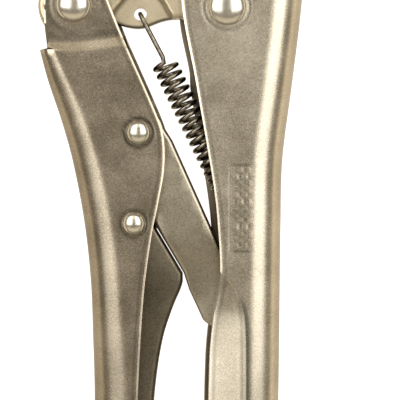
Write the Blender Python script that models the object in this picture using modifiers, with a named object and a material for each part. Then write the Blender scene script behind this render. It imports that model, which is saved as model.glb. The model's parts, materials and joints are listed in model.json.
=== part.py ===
"""Locking pliers of the 250 mm size, lying on their side, each piece of the tool its own solid.

Plan positions are in millimetres from the jaw pivot: x towards the fixed handle's back, y towards the
jaw tips, z along the rivets from the tool's mid plane. world() turns them into metres in the part's frame.
"""

import math

import bmesh
import bpy
from mathutils import Matrix, Vector
from mathutils.geometry import interpolate_bezier

MM = 0.001

# Frame: the origin lies under the middle of the tool, on the surface that it rests on.
PLAN_MIDDLE = (-15.2, -66.4)
REST_DEPTH = 9.3                     # mid plane to the resting rivet tails and the knob's underside

# Pivots and other plan positions.
JAW_PIVOT = (0.0, 0.0)
HANDLE_PIVOT = (-41.6, 0.7)
LINK_PIVOT = (-24.0, -34.0)
LEVER_PIVOT = (-25.25, -58.6)
JAW_RIVETS = {"front": (-1.5, 18.6), "rear": (9.0, 12.6)}
SPRING_HOLE = (-23.6, -1.6)
SPRING_TAB = (9.2, -69.1)
LINK_END = (5.2, -93.7)
SCREW_X = 5.5

# Sheet and plate thicknesses, as distances from the mid plane.
SHEET = 2.3
HANDLE_HALF = 7.5
JOGGLE_HALF = 6.3                    # the movable handle's walls step in beside the jaw
JAW_HEAD_HALF = 6.35
JAW_BODY_HALF = 4.8
JAW_LUG_HALF = 3.7                   # beside the handle pivot
SPRING_WEB_HALF = 2.2
LINK_HALF = 4.8
LINK_TIP_HALF = 2.4
LEVER_HALF = 3.6
GAP = 0.3                            # clearance between touching pieces

# Jaws.
TIP_Y = 57.3
JAW_GAP = 0.8                        # between the two rows of teeth
TOOTH_PITCH = 1.8
TOOTH_DEPTH = 0.7
HOLLOW_Y = 27.0                      # middle of the pipe hollow
HOLLOW_CHORD = 20.0
HOLLOW_DEPTH = 4.6
CUTTER_Y = 9.7                       # lower end of the cutting lands
BOSS_R = 9.0
LUG_R = 9.8
SHOULDER_Y = 24.3                    # the fixed handle's front end

# Rear end and screw.
TUBE_R = 7.5
HANDLE_END_Y = -165.0
SCREW_R = 4.3
THREAD_DEPTH = 0.9
THREAD_PITCH = 2.0
NOSE_R = 3.9
NOSE_Y = -100.9
SCREW_Y = -107.0
KNOB_Y = -168.0
KNOB_LENGTH = 22.0
KNOB_R = 9.3

# Rivets and holes.
PIVOT_SHANK_R = 3.2
LINK_SHANK_R = 2.3
LEVER_SHANK_R = 1.9
JAW_SHANK_R = 2.6
SPRING_HOLE_R = 1.75
JOGGLED_HEAD_Z = 8.5                 # top of the rivet head on the joggled wall

# Spring.
WIRE_R = 0.62
COIL_R = 3.0
COIL_PITCH = 2.25
COIL_TURNS = 23
COIL_START = 14.8                    # from the spring hole to the first turn, along the axis

PIECES = "locking_pliers"
CUTTERS = "cutters"


# ---------------------------------------------------------------- small helpers
def world(x, y, z=0.0):
    """Metres in the part's frame, from millimetres about the jaw pivot."""
    return Vector(((x - PLAN_MIDDLE[0]) * MM, (y - PLAN_MIDDLE[1]) * MM, (z + REST_DEPTH) * MM))


def blend(a, b, t):
    """A point t of the way from a to b."""
    return tuple(p + (q - p) * t for p, q in zip(a, b))


def eased(keys, at):
    """Value at a place, on a smooth cubic through (place, value) keys."""
    keys = sorted(keys)
    if at <= keys[0][0]:
        return keys[0][1]
    if at >= keys[-1][0]:
        return keys[-1][1]

    def slope(k):
        before, after = keys[max(k - 1, 0)], keys[min(k + 1, len(keys) - 1)]
        return (after[1] - before[1]) / (after[0] - before[0])

    span = next(k for k in range(len(keys) - 1) if keys[k + 1][0] >= at)
    (p0, v0), (p1, v1) = keys[span], keys[span + 1]
    width = p1 - p0
    t = (at - p0) / width
    rise = 3 * t ** 2 - 2 * t ** 3
    return (v0 + (v1 - v0) * rise + slope(span) * width * t * (1 - t) ** 2
            - slope(span + 1) * width * t ** 2 * (1 - t))


def arc(centre, radius, start, end, steps):
    """Points on an arc, from one angle to another in degrees."""
    angles = [math.radians(start + (end - start) * k / steps) for k in range(steps + 1)]
    return [(centre[0] + radius * math.cos(a), centre[1] + radius * math.sin(a)) for a in angles]


def through(points, steps=4):
    """A smooth line through plan points, with a few points for each span."""
    knots = [Vector((x, y, 0.0)) for x, y in points]
    line = []
    for k in range(len(knots) - 1):
        before, after = knots[max(k - 1, 0)], knots[min(k + 2, len(knots) - 1)]
        handle_a = knots[k] + (knots[k + 1] - before) / 6
        handle_b = knots[k + 1] - (after - knots[k]) / 6
        line += interpolate_bezier(knots[k], handle_a, handle_b, knots[k + 1], steps + 1)[:-1]
    line.append(knots[-1])
    return [(p.x, p.y) for p in line]


def metal(name, colour, roughness):
    """A plain metal finish."""
    material = bpy.data.materials.new(name)
    material.use_nodes = True
    shader = material.node_tree.nodes["Principled BSDF"]
    shader.inputs["Base Color"].default_value = (*colour, 1.0)
    shader.inputs["Roughness"].default_value = roughness
    shader.inputs["Metallic"].default_value = 1.0
    material.diffuse_color = (*colour, 1.0)
    return material


def add_object(name, mesh, material=None):
    """Put a mesh in the scene: a piece when it has a material, a cutter when it has none."""
    piece = bpy.data.objects.new(name, mesh)
    bpy.data.collections[PIECES if material else CUTTERS].objects.link(piece)
    if material:
        mesh.materials.append(material)
    else:
        piece.hide_render = True
        piece.display_type = "WIRE"
    return piece


def smooth(piece, angle=35.0):
    """Smooth shading that keeps the edges sharper than an angle."""
    piece.data.shade_smooth()
    piece.data.set_sharp_from_angle(angle=math.radians(angle))


def plate(name, outline, low, high, material=None):
    """A flat outline, filled and extruded between two levels."""
    curve = bpy.data.curves.new(name, "CURVE")
    curve.dimensions = "2D"
    curve.fill_mode = "BOTH"
    curve.extrude = (high - low) / 2 * MM
    spline = curve.splines.new("POLY")
    spline.points.add(len(outline) - 1)
    middle = world(*JAW_PIVOT, (low + high) / 2)
    for point, (x, y) in zip(spline.points, outline):
        point.co = (x * MM, y * MM, 0.0, 1.0)
    spline.use_cyclic_u = True
    drawing = bpy.data.objects.new(name + "_drawing", curve)
    bpy.context.scene.collection.objects.link(drawing)
    evaluated = drawing.evaluated_get(bpy.context.evaluated_depsgraph_get())
    mesh = bpy.data.meshes.new_from_object(evaluated)
    bpy.data.objects.remove(drawing)
    weld(mesh)
    piece = add_object(name, mesh, material)
    piece.data.transform(Matrix.Translation(middle))
    return piece


def weld(mesh):
    """Join a mesh's doubled points."""
    body = bmesh.new()
    body.from_mesh(mesh)
    bmesh.ops.remove_doubles(body, verts=body.verts, dist=0.01 * MM)
    body.to_mesh(mesh)
    body.free()


def turned(name, profile, material, steps=16):
    """A turned piece about the z axis: a profile of (radius, height), from its top to its bottom."""
    mesh = bpy.data.meshes.new(name)
    points = [(r * MM, 0.0, z * MM) for r, z in profile]
    mesh.from_pydata(points, [(k, k + 1) for k in range(len(points) - 1)], [])
    piece = add_object(name, mesh, material)
    screw = piece.modifiers.new("turn", "SCREW")
    screw.steps = screw.render_steps = steps
    screw.use_merge_vertices = True
    screw.merge_threshold = 0.00001
    screw.use_smooth_shade = True
    return piece


def combine(piece, other, operation="DIFFERENCE"):
    """Cut or join a piece by a cutter that stays in the cutters collection."""
    boolean = piece.modifiers.new(other.name, "BOOLEAN")
    boolean.object = other
    boolean.operation = operation
    boolean.solver = "EXACT"


def drill(pieces, name, place, radius):
    """A round hole along z through several pieces, from one cutter."""
    mesh = bpy.data.meshes.new(name)
    body = bmesh.new()
    bmesh.ops.create_cone(body, cap_ends=True, segments=20, radius1=radius * MM, radius2=radius * MM,
                          depth=30 * MM, matrix=Matrix.Translation(world(*place)))
    body.to_mesh(mesh)
    body.free()
    drill_bit = add_object(name, mesh)
    for piece in pieces:
        combine(piece, drill_bit)


def pivot(name, place, parent=None):
    """An empty on a joint's axis, which carries one moving body."""
    empty = bpy.data.objects.new(name, None)
    bpy.data.collections[PIECES].objects.link(empty)
    spot = world(*place)
    empty["spot"] = spot
    empty.location = spot
    if parent:
        empty.parent = parent
        empty.location = spot - Vector(parent["spot"])
    return empty


def hang(piece, empty):
    """Move a piece's origin to its joint and hang the piece there; its shape stays where it is."""
    origin = Vector(empty["spot"])
    if piece.location.length == 0:
        piece.data.transform(Matrix.Translation(-origin))
    else:
        piece.location -= origin
    piece.parent = empty


# ---------------------------------------------------------------- pressed handles
def bent_half(free, crease, wall_half, back_x, bend, side):
    """Half of a channel's outer section, from its free edge to the middle of its back.

    free and crease are (x, z) points on the wall, bend is the (x, z) size of the rounded corner,
    and side is +1 where the back lies at +x.
    """
    bend_x = back_x - side * bend[0]
    points = [free, blend(free, crease, 0.5), crease, blend(crease, (bend_x, wall_half), 0.5)]
    for k in range(5):
        angle = math.radians(90 - 22.5 * k)
        points.append((bend_x + side * bend[0] * math.cos(angle),
                       wall_half - bend[1] * (1 - math.sin(angle))))
    points.append((back_x, 0.0))
    return points


def mirrored(half, y, lip):
    """A whole section at y: the wall at +z, the back, and the wall at -z, whose edge is lip further out."""
    far = [(x, y, -z) for x, z in half[:-1]]
    far[0] = (far[0][0] + lip, y, far[0][2])
    return [(x, y, z) for x, z in half] + far[::-1]


def pressed_sheet(name, rows, material):
    """A sheet through rows of points (None where it is cut away), thickened inwards."""
    mesh = bpy.data.meshes.new(name)
    body = bmesh.new()
    grid = [[body.verts.new(world(*p)) if p else None for p in row] for row in rows]
    for upper, lower in zip(grid, grid[1:]):
        for k in range(len(upper) - 1):
            corners = (upper[k], lower[k], lower[k + 1], upper[k + 1])
            if all(corners):
                body.faces.new(corners)
    bmesh.ops.delete(body, geom=[v for v in body.verts if not v.link_faces], context="VERTS")
    body.to_mesh(mesh)
    body.free()
    piece = add_object(name, mesh, material)
    thicken = piece.modifiers.new("sheet", "SOLIDIFY")
    thicken.thickness = SHEET * MM
    thicken.offset = -1
    thicken.use_even_offset = True
    smooth(piece)
    return piece


FIXED_BACK = [(24.0, 19.4), (14.0, 21.0), (1.75, 20.4), (-20.0, 17.8), (-41.0, 15.1), (-58.0, 14.6),
              (-106.0, 14.0), (-150.0, 13.0), (HANDLE_END_Y, 13.0)]
FIXED_FREE = [(24.0, -6.0), (15.0, -11.2), (1.75, -12.3), (-20.0, -8.5), (-46.8, -3.9), (-57.6, -2.6),
              (-73.8, -1.9), (-84.6, -3.9), (-95.4, -4.9), (-120.0, -5.0), (-150.0, -2.0),
              (HANDLE_END_Y, -2.0)]
PINCH_FREE_Z = [(-72.0, HANDLE_HALF), (-78.0, 6.4), (-84.0, 5.6), (-96.0, 5.1), (HANDLE_END_Y, 5.1)]
PINCH_CREASE_X = [(-60.0, -1.4), (-72.0, -1.0), (-75.0, 1.5), (-78.0, 2.8), (-80.6, 3.9), (-84.0, 4.7),
                  (-89.0, 5.0), (-93.0, 5.1), (-106.0, 5.1), (HANDLE_END_Y, 4.2)]
FIXED_BEND = (8.4, 6.2)
ROLL = [(-112.0, 0.0), (-131.0, 0.5), (-150.0, 1.0)]
FIXED_LIP = [(HANDLE_END_Y, 0.0), (-140.0, 0.0), (-112.0, -1.0), (-85.0, -1.1), (-62.0, -1.8), (-22.0, -1.8),
             (-17.0, -1.2), (-4.0, -1.2), (8.0, 0.0)]
MOVABLE_LIP = 0.9


def fixed_section(y):
    """The fixed handle's section: a channel, pinched lower down, then rolled into a tube at its end."""
    free_z = eased(PINCH_FREE_Z, y)
    free_x = eased(FIXED_FREE, y)
    crease = (max(eased(PINCH_CREASE_X, y), free_x + 1.0), HANDLE_HALF)
    half = bent_half((free_x, free_z), crease, HANDLE_HALF, eased(FIXED_BACK, y), FIXED_BEND, 1)
    roll = eased(ROLL, y)
    seam = 176.0
    for k, point in enumerate(half):
        angle = math.radians(seam * (1 - k / (len(half) - 1)))
        round_point = (SCREW_X + TUBE_R * math.cos(angle), TUBE_R * math.sin(angle))
        half[k] = blend(point, round_point, roll)
    return mirrored(half, y, eased(FIXED_LIP, y))


def make_fixed_handle(material):
    """Channel with the lanced tab that holds the spring's lower hook."""
    stations = 31
    rows = [fixed_section(24.0 + (HANDLE_END_Y - 24.0) * k / (stations - 1)) for k in range(stations)]
    handle = pressed_sheet("fixed_handle", rows, material)
    x, y = SPRING_TAB
    tab_outline = [(x - 1.6, y - 1.0), (x + 4.2, y - 1.4), (x + 4.2, y + 1.4), (x - 1.6, y + 1.0)]
    tab = plate("spring_tab", tab_outline, -1.4, 1.4)
    combine(handle, tab, "UNION")
    return handle


MOVABLE_BACK = [(-11.5, -50.8), (-19.8, -48.6), (-30.6, -45.0), (-41.4, -42.0), (-57.6, -38.9),
                (-73.8, -37.1), (-90.0, -36.45), (-106.0, -36.05), (-130.0, -36.3), (-150.0, -37.6),
                (HANDLE_END_Y, -39.6)]
MOVABLE_FREE = [(1.75, -32.3), (-9.0, -27.9), (-30.6, -18.5), (-36.0, -17.1), (-44.1, -17.1),
                (-52.2, -18.5), (-63.0, -20.65), (-79.2, -22.7), (-106.0, -24.2), (-130.0, -24.8),
                (-150.0, -26.4), (HANDLE_END_Y, -29.6)]
MOVABLE_BEND = [(-11.5, 4.2), (-25.0, 6.5), (-52.0, 8.0), (-80.0, 8.4), (-106.0, 9.5), (HANDLE_END_Y, 9.5)]
BEND_DEPTH = 0.7                     # a bend's depth for its width
WEB_END_Y = -11.5                    # the back's front end


def front_walls(y, half):
    """The movable handle's walls in front of its back: joggled in, and round about the pivot."""
    round_y, round_r, round_x = 1.75, 8.6, -40.9
    if y > round_y:
        reach = math.sqrt(max(round_r ** 2 - (y - round_y) ** 2, 0.0))
        right, left = round_x + reach, round_x - reach
    else:
        right, left = eased(MOVABLE_FREE, y), eased([(WEB_END_Y, -48.6), (-3.6, -49.5), (1.75, -49.5)], y)
    flat = [(right + (left - right) * k / 4, y, half) for k in range(5)]
    far = [(x, y, -z) for x, y, z in flat]
    if y <= round_y:
        far[0] = (right + MOVABLE_LIP, y, -half)
    return flat + [None] * 9 + far[::-1]


def make_movable_handle(material):
    """Channel whose back starts behind the handle pivot."""
    rows = [front_walls(y, JOGGLE_HALF) for y in (10.2, 9.0, 6.5, 1.75, -4.0, -9.8)]
    stations = 25
    for k in range(stations):
        y = WEB_END_Y + (HANDLE_END_Y - WEB_END_Y) * k / (stations - 1)
        back_x = eased(MOVABLE_BACK, y)
        free = (eased(MOVABLE_FREE, y), HANDLE_HALF)
        bend = eased(MOVABLE_BEND, y)
        crease = blend(free, (back_x + bend, HANDLE_HALF), 0.5)
        rows.append(mirrored(bent_half(free, crease, HANDLE_HALF, back_x, (bend, BEND_DEPTH * bend), -1), y,
                             MOVABLE_LIP))
    return pressed_sheet("movable_handle", [row[::-1] for row in rows], material)


# ---------------------------------------------------------------- jaws
def parting(y):
    """x of the line between the closed jaws."""
    return -13.4 - 0.034 * (y - CUTTER_Y)


def grip_line(side):
    """A jaw's inner edge, tip to cutter: toothed nose, toothed pipe hollow, cutting land.

    side is +1 for the fixed jaw and -1 for the movable jaw.
    """
    line = []
    nose_end = HOLLOW_Y + HOLLOW_CHORD / 2 + 1.0
    teeth = int((TIP_Y - nose_end) / TOOTH_PITCH)
    for tooth in range(teeth):
        crest = TIP_Y - 0.4 - tooth * TOOTH_PITCH
        root = crest - 0.6 * TOOTH_PITCH
        line.append((parting(crest) + side * JAW_GAP / 2, crest))
        line.append((parting(root) + side * (JAW_GAP / 2 + TOOTH_DEPTH), root))
    radius = ((HOLLOW_CHORD / 2) ** 2 + HOLLOW_DEPTH ** 2) / (2 * HOLLOW_DEPTH)
    sweep = math.degrees(math.asin(HOLLOW_CHORD / 2 / radius))
    centre_x = parting(HOLLOW_Y) + side * (JAW_GAP / 2 + HOLLOW_DEPTH - radius)
    steps = 20
    for k in range(steps + 1):
        angle = math.radians(sweep - 2 * sweep * k / steps)
        reach = radius + TOOTH_DEPTH * (k % 2)
        line.append((centre_x + side * reach * math.cos(angle), HOLLOW_Y + reach * math.sin(angle)))
    land_top = HOLLOW_Y - HOLLOW_CHORD / 2 - 1.2
    line.append((parting(land_top) + side * JAW_GAP / 4, land_top))
    return line


def step_faces(jaw, outline, half):
    """Thin a jaw to a half thickness within an outline, from both faces."""
    for label, low, high in (("upper", half, 9.0), ("lower", -9.0, -half)):
        cutter = plate(f"{jaw.name}_{label}_{half:.1f}".replace(".", "_"), outline, low, high)
        combine(jaw, cutter)


def make_fixed_jaw(material):
    """Forged jaw: its tail curves round the movable jaw's boss inside the channel."""
    clearance_r = BOSS_R + 0.7
    tail = [(parting(CUTTER_Y) + JAW_GAP / 4, CUTTER_Y + 0.2)] + arc(JAW_PIVOT, clearance_r, 114, 22, 8)
    back = through([(18.6, SHOULDER_Y + GAP), (17.6, 29.0), (13.4, 37.5), (7.0, 45.5), (0.0, 52.0),
                    (-5.0, 55.6), (-10.0, TIP_Y)])
    outline = grip_line(1) + tail + [(13.6, 3.6), (13.6, SHOULDER_Y + GAP)] + back
    outline.append((parting(TIP_Y) + JAW_GAP / 2, TIP_Y))
    jaw = plate("fixed_jaw", outline, -JAW_HEAD_HALF, JAW_HEAD_HALF, material)
    step_faces(jaw, [(-30.0, -5.0), (30.0, -5.0), (30.0, SHOULDER_Y + GAP), (-30.0, SHOULDER_Y + GAP)],
               JAW_BODY_HALF)
    return jaw


def make_movable_jaw(material):
    """Forged jaw with a boss on the jaw pivot, a lug on the handle pivot and the spring's web between."""
    neck = [(parting(CUTTER_Y) - JAW_GAP / 4, CUTTER_Y - 0.4)] + arc(JAW_PIVOT, BOSS_R, 118, -150, 20)
    lower_edge = through([(-12.5, -2.8), (-17.4, -3.6), (-22.8, -5.5), (-26.9, -5.3), (-31.0, -4.0)], 2)
    lug = arc(HANDLE_PIVOT, LUG_R, -48, -205, 14)
    back = through([(-47.2, 14.0), (-41.0, 28.0), (-33.5, 42.0), (-26.0, 53.5), (-20.5, TIP_Y)])
    outline = grip_line(-1) + neck + lower_edge + lug + back
    outline.append((parting(TIP_Y) - JAW_GAP / 2, TIP_Y))
    jaw = plate("movable_jaw", outline, -JAW_HEAD_HALF, JAW_HEAD_HALF, material)
    step_faces(jaw, [(-60.0, -15.0), (15.0, -15.0), (15.0, 14.0), (-60.0, 14.0)], JAW_BODY_HALF)
    step_faces(jaw, [(-60.0, -16.0), (-27.0, -16.0), (-27.6, 2.0), (-31.0, 11.5), (-40.0, 13.0),
                     (-60.0, 13.0)], JAW_LUG_HALF)
    step_faces(jaw, [(-23.0, 8.0), (-28.2, 1.75), (-35.0, -7.5), (-12.5, -7.5), (-15.0, -2.8),
                     (-17.7, 1.75)], SPRING_WEB_HALF)
    return jaw


# ---------------------------------------------------------------- link and lever
def make_toggle_link(material):
    """Bar from the movable handle to the screw, thinned where it enters the fixed handle's channel."""
    start = arc(LINK_PIVOT, 7.2, 10, 205, 12)
    left = [(-27.2, -41.6), (-19.3, -59.3), (-11.75, -72.0), (-10.3, -76.5), (-6.6, -84.6),
            (-5.9, -85.4), (-2.5, -87.6), (0.4, -91.5)]
    tip = arc(LINK_END, 3.9, 200, 370, 10)
    right = [(8.0, -87.0), (-14.85, -36.0)]
    link = plate("toggle_link", start + left + tip + right, -LINK_HALF, LINK_HALF, material)
    run = Vector((LINK_END[0] - LINK_PIVOT[0], LINK_END[1] - LINK_PIVOT[1]))
    side_view = [(30.0, 9.0), (30.0, LINK_HALF), (46.0, LINK_TIP_HALF), (80.0, LINK_TIP_HALF), (80.0, 9.0)]
    for label, sign in (("upper", 1), ("lower", -1)):
        name = f"link_taper_{label}"
        mesh = bpy.data.meshes.new(name)
        body = bmesh.new()
        profile = [body.verts.new((s * MM, -15 * MM, sign * z * MM)) for s, z in side_view]
        face = body.faces.new(profile)
        swept = bmesh.ops.extrude_face_region(body, geom=[face])["geom"]
        bmesh.ops.translate(body, vec=(0, 30 * MM, 0), verts=[v for v in swept if hasattr(v, "co")])
        bmesh.ops.recalc_face_normals(body, faces=body.faces)
        body.to_mesh(mesh)
        body.free()
        facing = Matrix.Rotation(math.atan2(run.y, run.x), 4, "Z")
        mesh.transform(Matrix.Translation(world(*LINK_PIVOT)) @ facing)
        combine(link, add_object(name, mesh))
    return link


def make_release_lever(material):
    """Lever inside the movable handle: its nose lies against the link, its tail is the finger tab."""
    boss = arc(LEVER_PIVOT, 4.4, 40, 190, 8)
    back = through([(-31.0, -72.0), (-31.0, -90.0), (-29.8, -110.0), (-28.0, -130.0), (-25.6, -143.0)], 3)
    tail = arc((-22.4, -143.6), 3.2, 190, 355, 6)
    front = through([(-20.0, -130.0), (-20.1, -112.0), (-19.3, -101.0), (-17.5, -90.0), (-15.0, -82.0),
                     (-12.7, -76.5), (-12.05, -74.4)], 3)
    nose = [(-12.05, -72.1), (-19.6, -59.4)]
    return plate("release_lever", boss + back + tail + front + nose, -LEVER_HALF, LEVER_HALF, material)


# ---------------------------------------------------------------- rivets
def make_rivet(name, place, head_r, shank_r, seat, material, height=None):
    """Rivet: domed head at +z, shank through the walls, flat-topped closing head at -z."""
    top = height or REST_DEPTH
    base = seat + GAP
    rise = top - base
    dome = [(head_r * math.sin(math.radians(a)), base + rise * math.cos(math.radians(a)))
            for a in (0, 22, 44, 64, 80)]
    bottom = -REST_DEPTH
    tail_r = head_r - 0.4
    profile = dome + [(head_r, base), (shank_r, base), (shank_r, -base), (tail_r, -base),
                      (tail_r - 0.15, -base - 0.5), (tail_r - 0.9, bottom), (0.0, bottom)]
    rivet = turned(name, profile, material)
    rivet.location = world(*place)
    return rivet


# ---------------------------------------------------------------- spring
def make_spring(material):
    """Tension spring: hook through the jaw's web, straight wire, close coil, hook over the tab."""
    hole = Vector((*SPRING_HOLE, 0.0))
    axis = Vector((*SPRING_TAB, 0.0)) - hole
    axis.normalize()
    across = Vector((-axis.y, axis.x, 0.0))
    up = Vector((0.0, 0.0, 1.0))
    over = SPRING_WEB_HALF + WIRE_R + GAP
    path = [hole + axis * 2.4 - up * (over + 0.2), hole + axis * 0.9 - up * over, hole - up * 1.8,
            hole + up * 1.8, hole + axis * 0.9 + up * over]
    per_turn = 9
    for k in range(COIL_TURNS * per_turn + 1):
        angle = math.tau * k / per_turn
        along = COIL_START + COIL_PITCH * k / per_turn
        path.append(hole + axis * along + up * COIL_R * math.cos(angle) - across * COIL_R * math.sin(angle))
    tab = Vector((*SPRING_TAB, 0.0))
    path += [tab - axis * 3.4 + up * 2.4, tab + axis * 1.2 + up * 2.4, tab + axis * 2.2 + up * 1.2,
             tab + axis * 2.2 - up * 1.6]
    curve = bpy.data.curves.new("tension_spring", "CURVE")
    curve.dimensions = "3D"
    curve.bevel_depth = WIRE_R * MM
    curve.bevel_resolution = 1
    curve.use_fill_caps = True
    spline = curve.splines.new("POLY")
    spline.points.add(len(path) - 1)
    for point, spot in zip(spline.points, path):
        point.co = (*world(*spot), 1.0)
    spring = bpy.data.objects.new("tension_spring", curve)
    bpy.data.collections[PIECES].objects.link(spring)
    curve.materials.append(material)
    return spring


# ---------------------------------------------------------------- adjusting screw
def make_adjusting_screw(material):
    """Screw along the handle: a helical thread, and a knob at its rear end."""
    segments = 12
    rows_per_pitch = 3
    length = SCREW_Y - KNOB_Y + 1.0
    count = int(length / THREAD_PITCH * rows_per_pitch)
    body = bmesh.new()
    rings = []
    for row in range(count + 1):
        along = length * row / count
        fade = min(1.0, along / THREAD_PITCH, (length - along) / THREAD_PITCH)
        ring = []
        for k in range(segments):
            phase = (along / THREAD_PITCH + k / segments) % 1.0
            radius = SCREW_R - THREAD_DEPTH * abs(1 - 2 * phase) * fade - 0.4 * (1 - fade)
            angle = math.tau * k / segments
            ring.append(body.verts.new((radius * math.cos(angle) * MM, radius * math.sin(angle) * MM,
                                        along * MM)))
        rings.append(ring)
    for lower, upper in zip(rings, rings[1:]):
        for k in range(segments):
            n = (k + 1) % segments
            body.faces.new((lower[k], lower[n], upper[n], upper[k]))
    body.faces.new(rings[0][::-1])
    body.faces.new(rings[-1])
    mesh = bpy.data.meshes.new("adjusting_screw")
    body.to_mesh(mesh)
    body.free()
    facing = Matrix.Rotation(math.radians(90), 4, "X")
    mesh.transform(Matrix.Translation(world(SCREW_X, SCREW_Y)) @ facing)
    screw = add_object("adjusting_screw", mesh, material)
    smooth(screw, 50.0)
    combine(screw, make_knob(), "UNION")
    return screw


def make_knob():
    """Knob with chamfered rims, joined to the screw."""
    end = KNOB_LENGTH
    profile = [(0.0, end), (KNOB_R - 2.4, end), (KNOB_R - 1.4, end - 0.3), (KNOB_R, end - 1.9), (KNOB_R, 3.0),
               (KNOB_R - 1.2, 1.4), (KNOB_R - 3.2, 0.0), (0.0, 0.0)]
    mesh = bpy.data.meshes.new("knob")
    mesh.from_pydata([(r * MM, 0.0, z * MM) for r, z in profile],
                     [(k, k + 1) for k in range(len(profile) - 1)], [])
    knob = add_object("knob", mesh)
    turn = knob.modifiers.new("turn", "SCREW")
    turn.steps = turn.render_steps = 24
    turn.use_merge_vertices = True
    turn.merge_threshold = 0.00001
    knob.rotation_euler = (math.radians(90), 0.0, 0.0)
    knob.location = world(SCREW_X, KNOB_Y)
    return knob


def make_screw_nose(material):
    """The screw's plain front end, which bears on the link."""
    length = NOSE_Y - SCREW_Y - GAP
    profile = [(0.0, length), (NOSE_R - 1.2, length - 0.1), (NOSE_R, length - 1.1), (NOSE_R, 0.0), (0.0, 0.0)]
    nose = turned("screw_nose", profile, material)
    nose.rotation_euler = (math.radians(-90), 0.0, 0.0)
    nose.location = world(SCREW_X, SCREW_Y + GAP)
    return nose


# ---------------------------------------------------------------- assembly
def main():
    for old in list(bpy.data.objects):
        bpy.data.objects.remove(old)
    for name in (PIECES, CUTTERS):
        bpy.context.scene.collection.children.link(bpy.data.collections.new(name))

    nickel = metal("satin_nickel", (0.55, 0.50, 0.40), 0.42)
    dark_nickel = metal("shaded_nickel", (0.42, 0.38, 0.29), 0.45)
    forged = metal("forged_nickel", (0.60, 0.56, 0.45), 0.38)
    polished = metal("polished_rivet", (0.78, 0.75, 0.68), 0.16)
    lever_steel = metal("lever_steel", (0.33, 0.29, 0.21), 0.40)
    spring_steel = metal("blackened_wire", (0.09, 0.085, 0.08), 0.45)
    screw_steel = metal("bright_screw", (0.68, 0.65, 0.58), 0.28)

    fixed_handle = make_fixed_handle(nickel)
    fixed_jaw = make_fixed_jaw(forged)
    movable_jaw = make_movable_jaw(forged)
    movable_handle = make_movable_handle(nickel)
    link = make_toggle_link(dark_nickel)
    lever = make_release_lever(lever_steel)
    spring = make_spring(spring_steel)
    nose = make_screw_nose(screw_steel)
    screw = make_adjusting_screw(screw_steel)

    jaw_rivet = make_rivet("jaw_pivot_rivet", JAW_PIVOT, 5.1, PIVOT_SHANK_R, HANDLE_HALF, polished)
    handle_rivet = make_rivet("handle_pivot_rivet", HANDLE_PIVOT, 4.9, PIVOT_SHANK_R, JOGGLE_HALF, polished,
                               JOGGLED_HEAD_Z)
    link_rivet = make_rivet("link_rivet", LINK_PIVOT, 3.3, LINK_SHANK_R, HANDLE_HALF, polished)
    lever_rivet = make_rivet("release_lever_rivet", LEVER_PIVOT, 3.1, LEVER_SHANK_R, HANDLE_HALF,
                              polished)
    tail_rivets = [make_rivet(f"fixed_jaw_rivet_{end}", place, 4.3, JAW_SHANK_R, HANDLE_HALF, polished)
                   for end, place in JAW_RIVETS.items()]

    drill([fixed_handle, movable_jaw], "jaw_pivot_hole", JAW_PIVOT, PIVOT_SHANK_R + GAP)
    drill([movable_handle, movable_jaw], "handle_pivot_hole", HANDLE_PIVOT, PIVOT_SHANK_R + GAP)
    drill([movable_handle, link], "link_hole", LINK_PIVOT, LINK_SHANK_R + GAP)
    drill([movable_handle, lever], "lever_hole", LEVER_PIVOT, LEVER_SHANK_R + GAP)
    drill([movable_jaw], "spring_hole", SPRING_HOLE, SPRING_HOLE_R)
    for end, place in JAW_RIVETS.items():
        drill([fixed_handle, fixed_jaw], f"jaw_rivet_hole_{end}", place, JAW_SHANK_R + GAP)

    tool = pivot("tool", JAW_PIVOT)
    jaw_axis = pivot("jaw_axis", JAW_PIVOT, parent=tool)
    handle_axis = pivot("handle_axis", HANDLE_PIVOT, parent=jaw_axis)
    link_axis = pivot("link_axis", LINK_PIVOT, parent=handle_axis)
    lever_axis = pivot("lever_axis", LEVER_PIVOT, parent=handle_axis)
    screw_axis = pivot("screw_axis", (SCREW_X, SCREW_Y), parent=tool)
    for piece in (fixed_handle, fixed_jaw, jaw_rivet, *tail_rivets):
        hang(piece, tool)
    for piece in (movable_jaw, spring):
        hang(piece, jaw_axis)
    for piece in (movable_handle, handle_rivet, link_rivet, lever_rivet):
        hang(piece, handle_axis)
    hang(link, link_axis)
    hang(lever, lever_axis)
    for piece in (nose, screw):
        hang(piece, screw_axis)


main()
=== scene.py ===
"""Locking pliers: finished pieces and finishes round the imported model."""
import json
import math

import bmesh
import bpy
from mathutils import Matrix, Vector
from mathutils.geometry import interpolate_bezier


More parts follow.
